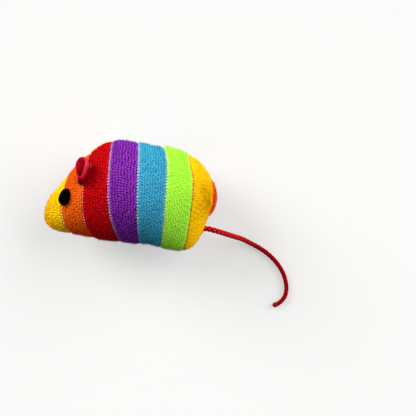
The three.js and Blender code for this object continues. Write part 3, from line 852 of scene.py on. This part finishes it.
def braid(turn, run):
    """Height from 0 to 1 of strands that cross over and under each other round a cord."""
    right = BRAID_STRANDS * (turn - BRAID_TWIST * run) / (2 * PI)
    left = BRAID_STRANDS * (turn + BRAID_TWIST * run) / (2 * PI)
    over = np.cos(PI * (left + np.round(right)))
    under = np.cos(PI * (right + np.round(left)))
    right_strand = np.cos(PI * (right - np.round(right))) ** 0.7 * (0.68 + 0.32 * over)
    left_strand = np.cos(PI * (left - np.round(left))) ** 0.7 * (0.68 - 0.32 * under)
    return np.maximum(right_strand, left_strand)


def make_tail():
    """The cord from inside the seam to its sealed end, fuller towards its root."""
    radius = TAIL_DIAMETER / 2
    end_radius = TAIL_END_DIAMETER / 2
    fall = tail_root[2] - end_radius
    route = [tail_root + (run, rise, (share - 1) * fall) for run, rise, share in TAIL_ROUTE]
    inside = tail_root - EXIT_WAY * (radius + SEWN_GAP + COVER + TAIL_INSIDE)
    line = smooth_line([inside, *route], TAIL_RING)
    reach = arc_lengths(line)
    left = reach[-1] - reach
    bulb = hill(np.maximum(left - end_radius, 0), BULB_REACH)
    seal = np.sqrt(np.clip(1 - (np.maximum(end_radius - left, 0) / end_radius) ** 2, 0, 1))
    spread = 1 + TAIL_SPREAD * np.clip(1.6 - 2.2 * reach / reach[-1], 0, 1)
    profile = (radius * spread + (end_radius - radius) * bulb) * seal
    turn = full_turn(TAIL_SIDES)
    ridge = lerp(braid(turn, reach[:, None]), BULB_RIDGE, 0.8 * bulb[:, None])
    size = profile[:, None] * (1 + BRAID_DEPTH * (ridge - BRAID_MIDDLE))
    points, faces, uv = tube(line, turn, size)
    along = np.broadcast_to((reach / reach[-1])[:, None], ridge.shape)
    tail = mesh_piece("tail_cord_braid", points, faces, uv, {"ridge": ridge, "along": along})
    dress(tail, None, cord_material(), "red_cord", "tail_cord")
    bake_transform(tail)
    return tail


# Knit cover
def edges_of(stripes):
    """Edges between the stripes of a panel: place along the flank, how far they trail, their wander."""
    at = 0
    edges = [(0, 0, 0)]
    for stripe in stripes[:-1]:
        at += stripe[1]
        edges.append((at, *stripe[2:]))
    return [*edges, (BODY_LENGTH, 0, 0)]


def edge_along(edge, share):
    """Place of an edge along the spine, a share of the way from back to belly."""
    at, back, belly, *wander = edge
    c = np.cos(PI * share)
    moved = sum(far * hill(share - place, reach) for far, place, reach in wander)
    return at + np.where(c > 0, back, belly) * c * c + moved


def stitches(course, wale, share):
    """Heights of fine stocking stitch, and how far each point is out of the pits between the loops.

    The rows draw together towards the back, and the loops slant towards the belly.
    """
    u = course + 0.13 * np.sin(0.83 * wale + 0.31 * course) + 0.11 * np.sin(1.9 * wale - 0.77 * course)
    v = wale + 0.13 * np.sin(0.71 * course - 0.37 * wale) + 0.11 * np.sin(1.7 * course + 1.1 * wale)
    between_courses = 0.5 + 0.5 * np.cos(2 * PI * u)
    between_wales = 0.5 + 0.5 * np.cos(2 * PI * v)
    slanting = 0.5 + 0.5 * np.cos(1.2 * PI * (u + v))
    uneven = 1 + 0.2 * np.sin(2.3 * course + 1.3 * wale) + 0.2 * np.sin(3.1 * wale - 1.9 * course)
    to_back = np.clip(1 - share / 0.4, 0, 1)
    to_belly = np.clip((share - 0.55) / 0.3, 0, 1)
    pit_shade = between_courses * between_wales
    groove = to_back * between_courses ** 2 + 2 * to_belly * slanting ** 3
    lines = between_courses ** 2 + between_wales ** 2
    ridge = 1 - np.clip(uneven * (1.1 * pit_shade + 0.45 * groove + 0.16 * lines), 0, 1)
    across = np.abs(2 * (v - np.floor(v)) - 1)
    leg = 0.5 + 0.5 * np.cos(2 * PI * (u + 0.5 * across))
    return lerp(leg, ridge, 0.75), ridge


def copies(shapes, faces):
    """Points and faces of many copies of one small shape."""
    count, each = shapes.shape[:2]
    all_faces = np.arange(count)[:, None, None] * each + np.array(faces)
    return shapes.reshape(-1, 3), all_faces.reshape(-1, 3)


def fuzz(points, ways, count, margin):
    """Short tapered fibres that stand off the knit: their points, faces and grid places."""
    rows, columns = points.shape[:2]
    edge = 1 + int(margin * columns)
    row = rng.integers(SAMPLES, rows - SAMPLES, count)
    column = rng.integers(edge, columns - edge, count)
    foot = points[row, column]
    way = ways[row, column]
    slope = unit(rng.standard_normal((count, 3)))
    slope = unit(slope - way * (slope * way).sum(1, keepdims=True))
    length = rng.uniform(*FUZZ_LENGTH, (count, 1))
    rise = rng.uniform(*FUZZ_RISE, (count, 1))
    middle = foot + length * 0.5 * (slope * 0.7 + way * rise * 1.3)
    tip = foot + length * (slope + way * rise)
    ring = rings_across(np.cross(way, slope), way, full_turn(3)) * FUZZ_RADIUS
    start = foot - way * FUZZ_ROOT
    fibres = np.concatenate([start[:, None] + ring, middle[:, None] + ring * 0.8, tip[:, None]], 1)
    faces = [[0, 2, 1], [0, 1, 4], [0, 4, 3], [1, 2, 5], [1, 5, 4], [2, 0, 3], [2, 3, 5],
             [3, 4, 6], [4, 5, 6], [5, 3, 6]]
    return *copies(fibres, faces), row, column


def seam_sway(along, sway):
    """Angle by which a sewn seam wanders, smoothed over a few places."""
    places, angles = zip(*sway)
    return sum(np.interp(along + step, places, angles) for step in SWAY_STEPS) / len(SWAY_STEPS)


def round_up(value, step):
    return math.ceil(value / step) * step


def band_surface(side, front, rear):
    """Grid of one stripe: both faces, normals, course and wale numbers, ridges, shares and area."""
    first = front[0] == 0
    last = rear[0] == BODY_LENGTH
    courses = max(2, round((rear[0] - front[0]) * BULGE / COURSE))
    rows = round_up(max(courses, LEAST_COURSES) * SAMPLES, INNER_STEP)
    half_ring = surface(pole_angle((front[0] + rear[0]) / 2), np.linspace(0, PI, 60))
    girth = arc_lengths(half_ring)[-1]
    columns = round_up(max(girth, LEAST_GIRTH) / WALE * SAMPLES, 2 * INNER_STEP)
    share = np.linspace(0, 1, columns + 1)[None, :]
    down = np.linspace(0, 1, rows + 1)[:, None]
    angle = lerp(pole_angle(edge_along(front, share)), pole_angle(edge_along(rear, share)), down)
    share = share + 0 * angle
    along = along_at(angle)
    back_seam = back_lean(angle) + seam_sway(along, BACK_SWAY)
    belly_seam = side * PI + belly_lean(angle) + seam_sway(along, BELLY_SWAY)
    around = lerp(back_seam, belly_seam, share)
    points = surface(angle, around)
    ways = normals(angle, around)
    run = arc_lengths(points, 0)
    left = run[-1:] - run
    course = run / COURSE if last else run / np.maximum(run[-1:], 1e-6) * courses
    reach = arc_lengths(points, 1)
    drop = reach - reach[:, columns // 2:columns // 2 + 1]
    wale = (drop - WALE_DRIFT * along) / WALE
    to_seam = np.minimum(reach, reach[:, -1:] - reach)
    height, ridge = stitches(course, wale, share)
    fade = 1 - hill(to_seam, PLAIN_REACH)
    ends = np.clip(np.minimum(along, BODY_LENGTH - along) / PLAIN_ENDS, 0, 1)
    pucker = 1 + PUCKER * np.sin(2 * PI * along / PUCKER_STEP)
    seam = SEAM_DEPTH * ends * pucker * hill(to_seam, SEAM_REACH)
    drawn = EDGE_DEPTH * ((not first) * hill(run, EDGE_REACH) + (not last) * hill(left, EDGE_REACH))
    waves = np.sin(2.9 * drop + 1.1 * along) + np.sin(2.3 * along - 1.7 * drop)
    waves = waves + np.sin(3.7 * along + 2.1 * drop)
    stuffed = STITCH_DEPTH * (height - STITCH_MIDDLE) + UNEVEN * waves / 2
    moved = settled(angle, around) + swell(angle, around, side) - dented(points)
    lift = stuffed * fade * np.minimum(1, ends * 3) + moved - seam - drawn
    shaped = points + ways * lift[..., None]
    shaped[..., 2] = np.maximum(shaped[..., 2], 0)
    inner = points - ways * (COVER - np.minimum(moved, 0))[..., None]
    area = reach[:, -1].mean() * run[-1].mean()
    return shaped, inner, ways, np.stack([course, wale], -1), lerp(1, ridge, fade), share, area


def band_piece(node, yarn, side, front, rear):
    """One stripe as a closed band: a finely stitched outside with its fuzz, and a plain inside."""
    outer, inner, ways, uv, ridge, share, area = band_surface(side, front, rear)
    coarse = np.s_[::INNER_STEP, ::INNER_STEP]
    inner = inner[coarse]
    outside = np.arange(ridge.size).reshape(ridge.shape)
    inside = np.arange(inner.size // 3).reshape(inner.shape[:2]) + outside.size
    faces = grid_faces(*outside.shape) + grid_faces(*inside.shape, outside.size)
    for edge in (np.s_[0], np.s_[-1], np.s_[:, 0], np.s_[:, -1]):
        faces += strip_faces(outside[edge], inside[edge])
    count = int(area * FUZZ_PER_AREA * (YELLOW_FUZZ if yarn == "yellow" else 1))
    fibres, fibre_faces, row, column = fuzz(outer, ways, count, 0 if side > 0 else UNDERSIDE_MARGIN)
    fibres[:, 2] = np.maximum(fibres[:, 2], 0)
    faces += (fibre_faces + outside.size + inside.size).tolist()
    points = np.concatenate([outer.reshape(-1, 3), inner.reshape(-1, 3), fibres])
    each = len(fibres) // count
    fibre_uv = np.repeat(np.maximum(uv[row, column], (FUZZ_COURSE, -np.inf)), each, 0)
    fibre_share = np.repeat(share[row, column], each)
    uv = np.concatenate([uv.reshape(-1, 2), uv[coarse].reshape(-1, 2), fibre_uv])
    hidden = np.zeros(inside.size)
    ridge = np.concatenate([ridge.ravel(), hidden, np.ones(len(fibres))])
    share = np.concatenate([share.ravel(), hidden, fibre_share])
    piece = mesh_piece(node + "_knit", points, faces, uv, {"ridge": ridge, "share": share})
    material = knit_material(node + " knit", yarn, front[0] > 0)
    dress(piece, "body", material, "knit_" + yarn, node)


def make_cover():
    for side, word, stripes in ((1, "left_", LEFT_STRIPES), (-1, "right_", RIGHT_STRIPES)):
        edges = edges_of(stripes)
        for k, stripe in enumerate(stripes):
            band_piece(word + stripe[0], stripe[0].split("_")[1], side, edges[k], edges[k + 1])


# Felt
def seat_patch(along, around):
    """Points a run and a rise away from a seat on the body, lifted off it."""
    angle = pole_angle(along)
    lengthwise, crosswise = tangents(angle, np.array(around))
    along_scale = norm(lengthwise) / (NUDGE * BODY_LENGTH * math.sin(angle))
    around_scale = norm(crosswise) / (2 * NUDGE)
    side = math.copysign(1, around)

    def at(run, rise, lift):
        where = pole_angle(along + run / along_scale)
        turn = around - side * rise / around_scale
        moved = lift + settled(where, turn) + swell(where, turn, side)
        return surface(where, turn) + normals(where, turn) * moved[..., None]

    return at


def closed_rings(name, rings, values=None):
    """A closed skin over rings, the first and last of them drawn in to a line or point."""
    return mesh_piece(name, rings, grid_faces(*rings.shape[:2], wrap=True), None, values)


def make_eye(side, node, material):
    """A felt oval glued on, with rounded edges and a low crown."""
    patch = seat_patch(EYE_ALONG, side * EYE_AROUND)
    turn = full_turn(FELT_TURNS)
    wave = 1 + 0.005 * np.sin(5 * turn + side) + 0.003 * np.sin(11 * turn)
    rings, edge_highlights = [], []

    def ring(share, lift, edge_highlight):
        wide = EYE_WIDTH / 2 * EYE_SPREAD * share * np.cos(turn) * wave
        tall = EYE_LENGTH / 2 * share * np.sin(turn) * wave
        rings.append(patch(*turned(wide, tall, EYE_TILT), lift))
        edge_highlights.append(np.full(FELT_TURNS, edge_highlight))

    ring(0, EYE_UNDERSIDE, 0)
    ring(0.96, EYE_UNDERSIDE, 0)
    # The rounded edge carries a painted highlight.
    for bend in np.linspace(0, PI / 2, 7):
        share = 1 - EYE_ROUNDING * (1 - math.cos(bend))
        lift = EYE_UNDERSIDE + (EYE_FELT - EYE_UNDERSIDE) * math.sin(bend)
        ring(share, SEWN_GAP + lift, 0.7 * math.sin(2 * bend))
    for share in np.linspace(0.9, 0, 12):
        ring(share, SEWN_GAP + EYE_FELT + EYE_CROWN * (1 - share * share), 0)
    rough = EYE_ROUGH * rng.standard_normal((len(rings), FELT_TURNS))
    rough[0] = rough[-1] = 0
    shaped = np.array(rings) + rough[..., None] * np.array([0, 0, side])
    piece = closed_rings(node + "_felt", shaped, {"edge_highlight": np.array(edge_highlights)})
    dress(piece, "body", material, "black_felt", node)


def ear_frame(side):
    """Seat of an ear, and directions off the body, along the pinch and across it."""
    angle = pole_angle(EAR_ALONG)
    seat = np.array(side * EAR_AROUND)
    rearward = unit(tangents(angle, seat)[0])
    up = normals(np.array(angle), seat)
    pinch = turned(rearward, np.cross(up, rearward) * side, EAR_SLANT)[0]
    return surface(angle, seat) + up * SEWN_GAP, up, pinch, np.cross(up, pinch) * side


def make_ear(side, node, lean, rim_width, material, thread):
    """A felt disc pinched into a cup, sewn down along the pinch."""
    seat, up, pinch, across = ear_frame(side)
    patch = seat_patch(EAR_ALONG, side * EAR_AROUND)
    stem, flat = turned(up, across, lean)
    rim_run, rim_across = turned(pinch, flat, RIM_TWIST)
    turn = full_turn(FELT_TURNS)
    rearward = 0.5 - 0.5 * np.sin(turn)
    low = 0.5 - 0.5 * np.cos(turn)
    felt = EAR_FELT * lerp(0.62, 1.15, rearward)
    waist = lerp(lerp(0.95, 2.8, low), lerp(1.2, 1.8, low), rearward)
    bluntness = lerp(1, 1.3, rearward)
    taper = lerp(RIM_TAPER, REAR_TAPER, rearward)

    def pinched(length, width, lift):
        a = length / 2 * blunted(np.cos(turn), PINCH_BLUNT)
        b = width / 2 * blunted(np.sin(turn), PINCH_BLUNT) * waist
        return patch(*turned(a, b, -EAR_SLANT), lift)

    def rim(inset, lift):
        a = (RIM_LENGTH / 2 - inset) * blunted(np.cos(turn), bluntness)
        b = (rim_width / 2 - inset) * np.sin(turn) * (1 + taper * np.cos(turn)) + RIM_HOOK * low ** 2
        wave = 0.2 * np.sin(3 * turn + 0.6) + 0.1 * np.sin(7 * turn)
        middle = seat + stem * EAR_HEIGHT + pinch * RIM_SHIFT + across * RIM_ASIDE
        return middle + a[:, None] * rim_run + b[:, None] * rim_across + (wave + lift)[:, None] * stem

    # Each ring carries a painted highlight, strongest on the rearward rim, and painted shade, in the
    # pinch, low on the outer wall and inside the cup.
    rings, edge_highlights, fold_shades = [], [], []

    def ring(points, edge_highlight, fold_shade):
        rings.append(points)
        edge_highlights.append(edge_highlight + 0 * turn)
        fold_shades.append(fold_shade + 0 * turn)

    bottom = SEWN_GAP + PINCH_LIFT
    slit_length = PINCH_LENGTH - 2 * EAR_FELT
    slit_width = max(PINCH_WIDTH - 2 * EAR_FELT, SEWN_GAP)
    outer_low = pinched(PINCH_LENGTH, PINCH_WIDTH, bottom)
    inner_lift = bottom + EAR_FELT * math.cos(lean)
    inner_aside = across * EAR_FELT * math.sin(lean)
    inner_low = pinched(slit_length, slit_width, inner_lift) + inner_aside
    rounding = felt / 2
    ring(pinched(slit_length, 0, 0), 0, 0.7)
    ring(pinched(slit_length * 0.95, PINCH_WIDTH * 0.6, 0.1), 0, 0.7)
    for share in np.linspace(0, 1, 16):
        wall = lerp(outer_low, rim(0, -rounding), share) - stem * EAR_BOW * math.sin(PI * share)
        ring(wall, 0.5 * share ** 6 * rearward, 0.9 * (1 - share ** 2))
    for bend in np.linspace(0, PI, 9)[1:-1]:
        edge = rim(rounding * (1 - math.cos(bend)), rounding * (math.sin(bend) - 1))
        edge_highlight = (0.35 + 0.4 * math.sin(bend)) * lerp(0.05, 1, rearward ** 2) * lerp(1, 0.25, low)
        ring(edge, edge_highlight, 0)
    for share in np.linspace(1, 0, 14):
        wall = lerp(inner_low, rim(felt, -rounding), share)
        ring(wall, 0.3 * share ** 8 * rearward, 0.6 * min(1, 2.5 * (1 - share)))
    ring(pinched(slit_length - EAR_FELT, 0, inner_lift) + inner_aside, 0, 0.9)
    rings = np.array(rings)
    rough = EAR_ROUGH * rng.standard_normal(rings.shape)
    rough[0] = rough[-1] = 0
    values = {"edge_highlight": np.array(edge_highlights), "fold_shade": np.array(fold_shades)}
    ear = closed_rings(node + "_felt", rings + rough, values)
    dress(ear, None, material, "red_felt", node)
    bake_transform(ear)
    tack = round(TACK_TURN / (2 * PI) * FELT_TURNS) % FELT_TURNS
    wall = rings[TACK_FROM:TACK_FROM + len(TACK_ARCH), tack]
    make_tack(wall, seat, up, node + "_thread", thread)


def make_tack(wall, seat, up, name, material):
    """Two turns of thread over a line up an ear's wall, where its pinch is sewn down."""
    run = unit(wall[-1] - wall[0])
    out = unit(np.cross(np.cross(run, wall.mean(0) - seat - up * 3), run))
    tubes = []
    for offset in (-TACK_APART, TACK_APART):
        line = wall + np.cross(run, out) * offset + out * np.array(TACK_ARCH)[:, None]
        tubes.append((smooth_line(line, TACK_STEP), TACK_RADIUS))
    piece = tube_piece(name, tubes)
    dress(piece, None, material, "fibre")
    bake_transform(piece)


def make_felt():
    black = felt_material("black felt", "020202", "08080a", "010101", 0.01)
    make_eye(1, "left_eye", black)
    make_eye(-1, "right_eye", black)
    red = felt_material("crimson felt", "be0420", "ec4c66", "62000a", 0.02)
    thread = plain_fibre_material("grey thread", "8c7c72", 2400)
    make_ear(1, "left_ear", LEFT_EAR_LEAN, RIM_WIDTH, red, thread)
    make_ear(-1, "right_ear", RIGHT_EAR_LEAN, PRESSED_RIM, red, thread)


# Filling
def make_wad(node, start, end, material):
    """A wad of fibre, lumpy where it was packed."""
    angles = np.linspace(pole_angle(start), pole_angle(end), 40)
    angle, around = np.meshgrid(angles, full_turn(64), indexing="ij")
    lumps = 0.25 * np.sin(5 * around + 3 * angle) + 0.2 * np.sin(9 * angle - 4 * around)
    skin = surface(angle, around)
    pressed = dented(skin) - np.minimum(settled(angle, around), 0)
    depth = COVER + PACKING_GAP + FILL_ROOM + lumps + pressed
    rings = skin - normals(angle, around) * depth[..., None]
    middle = rings.mean(1, keepdims=True) + 0 * rings
    piece = closed_rings(node + "_fibre", np.concatenate([middle[:1], rings, middle[-1:]]))
    dress(piece, "body", material, "fibre", node)


def make_leaf(material):
    """Crumbled dried leaf: thin bent flakes, packed in the pocket between the wads."""
    low, high = (np.array(corner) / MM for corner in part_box("catnip_fill"))
    centre = (low + high) / 2
    room = (high - low) / 2 - FILL_ROOM
    count = LEAF_FLAKES
    spot = unit(rng.standard_normal((count, 3))) * rng.uniform(0, 1, (count, 1)) ** (1 / 3) * room
    long = unit(rng.standard_normal((count, 3)))
    wide = unit(np.cross(long, rng.standard_normal((count, 3))))
    thick = np.cross(long, wide)
    length = rng.uniform(0.5, 1.1, (count, 1))
    width = length * rng.uniform(0.4, 0.8, (count, 1))
    ends = long * length
    sides = wide * width
    bend = thick * LEAF_BEND
    skin = thick * LEAF_THICKNESS / 2
    flakes = np.stack([ends + bend, sides, bend - ends, -sides, skin, -skin], 1)
    faces = [[0, 1, 4], [1, 2, 4], [2, 3, 4], [3, 0, 4], [1, 0, 5], [2, 1, 5], [3, 2, 5], [0, 3, 5]]
    piece = mesh_piece("catnip_leaf", *copies(centre + spot[:, None] + flakes, faces))
    dress(piece, "body", material, "dried_leaf", "catnip_fill")


def make_knot(material):
    """Overhand knot at the inner end of the tail, with its stem to the seam."""
    side = np.array([0, 0, 1])
    up = np.cross(side, EXIT_WAY)
    centre = exit_point - EXIT_WAY * KNOT_DEPTH
    turn = np.linspace(0.3, 2 * PI - 0.1, 120)
    out = KNOT_TURN + KNOT_CROSSING * np.cos(3 * turn)
    places = [out * np.cos(2 * turn), out * np.sin(2 * turn), KNOT_CROSSING * np.sin(3 * turn)]
    loop = centre + np.transpose(places) @ np.array([side, up, EXIT_WAY])
    stem = np.linspace(centre + EXIT_WAY * 1.2, exit_point - EXIT_WAY * (COVER + 1.3), 12)
    piece = tube_piece("tail_knot_cord", [(loop, KNOT_RADIUS), (stem, TAIL_DIAMETER / 2 - 0.05)])
    dress(piece, "body", material, "red_cord", "tail_knot")


def make_filling(cord):
    fibre = plain_fibre_material("polyester fibre", "eceae2", 700)
    make_wad("front_stuffing", WAD_START, FRONT_WAD_END, fibre)
    make_wad("rear_stuffing", REAR_WAD_START, BODY_LENGTH - WAD_START, fibre)
    make_leaf(plain_fibre_material("dried leaf", "7c8450", 500))
    make_knot(cord)


make_camera()
tail = make_tail()
make_stage()
swell = simulated_cover()
make_cover()
make_felt()
make_filling(tail.data.materials[0])
